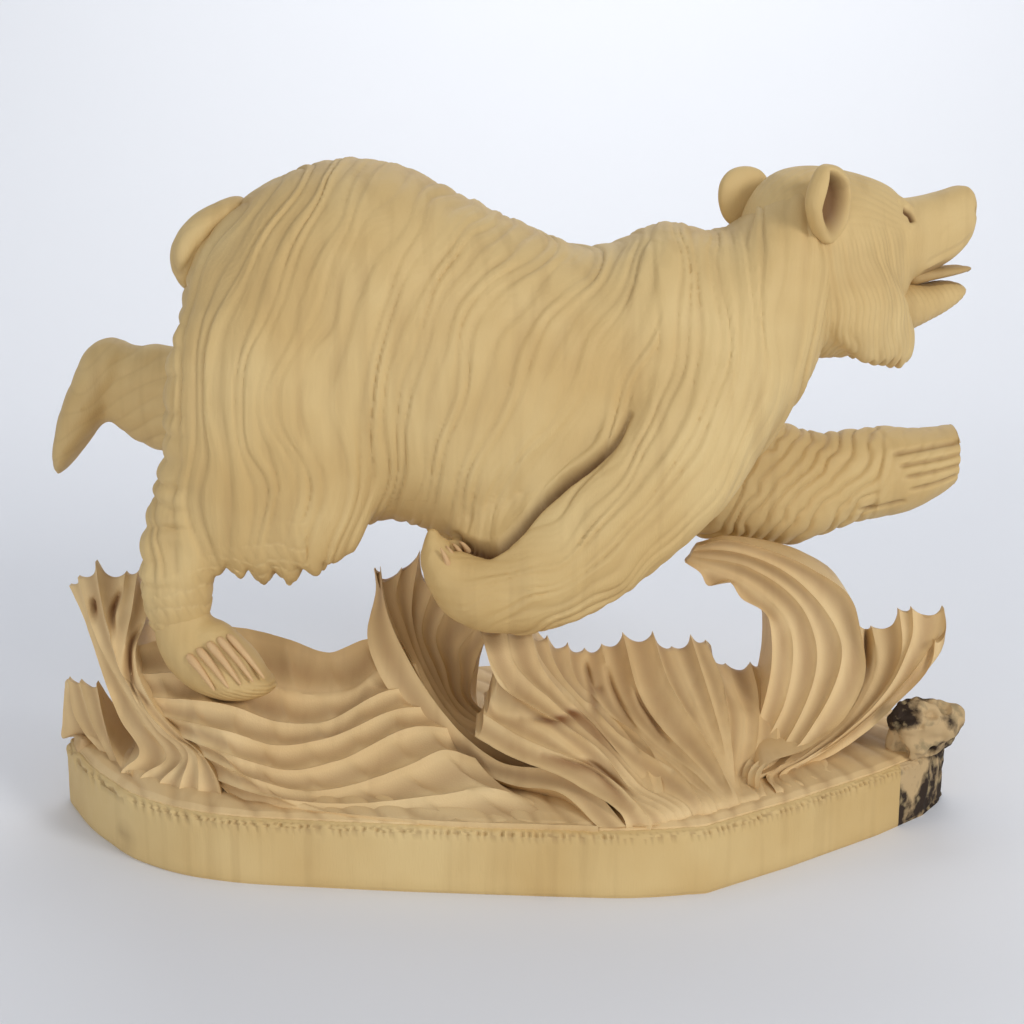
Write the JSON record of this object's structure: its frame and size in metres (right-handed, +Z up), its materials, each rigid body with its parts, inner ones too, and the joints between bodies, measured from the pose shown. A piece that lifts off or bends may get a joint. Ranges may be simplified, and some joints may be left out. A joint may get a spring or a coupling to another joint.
{
  "type": "carved wooden figurine",
  "caption": "Pale carved wood statuette of a running bear with tooled fur, leaping over curling leaves on a low plinth; stands on a shelf as decoration.",
  "frame": {"origin": "on the plinth's underside, below the middle of the bear", "axes": "+X the way the bear runs, +Z up, the side with the near legs faces -Y"},
  "size_m": [0.4959, 0.249, 0.3347],
  "materials": {
    "bear_wood": "bare gouge-cut fur, matt",
    "pale_wood": "bare gouge-cut leaves, matt",
    "bark_wood": "rough bark left on the blank",
    "claw_wood": "fine cut claws, matt"
  },
  "bodies": {
    "root": {"plinth": "pale_wood", "bark_edge": "bark_wood", "ground": "pale_wood", "hind_mound": "pale_wood", "tall_left_leaf": "pale_wood", "low_left_leaf": "pale_wood", "centre_wave": "pale_wood", "front_block": "pale_wood", "fan_ridge": "pale_wood", "curl_stem": "pale_wood", "curl_tip": "pale_wood", "right_leaf": "pale_wood", "knot_stub": "bark_wood", "rear_slope": "pale_wood", "hindquarters": "bear_wood", "barrel": "bear_wood", "chest": "bear_wood", "neck": "bear_wood", "head": "bear_wood", "lower_jaw": "bear_wood", "tongue": "bear_wood", "near_ear": "bear_wood", "far_ear": "bear_wood", "tail": "bear_wood", "near_foreleg": "bear_wood", "near_forepaw": "bear_wood", "far_foreleg": "bear_wood", "far_forepaw": "bear_wood", "near_hind_leg": "bear_wood", "near_hind_paw": "bear_wood", "far_hind_leg": "bear_wood", "far_hind_paw": "bear_wood", "near_hind_claws": "claw_wood", "near_forepaw_claws": "claw_wood"}
  },
  "joints": []
}
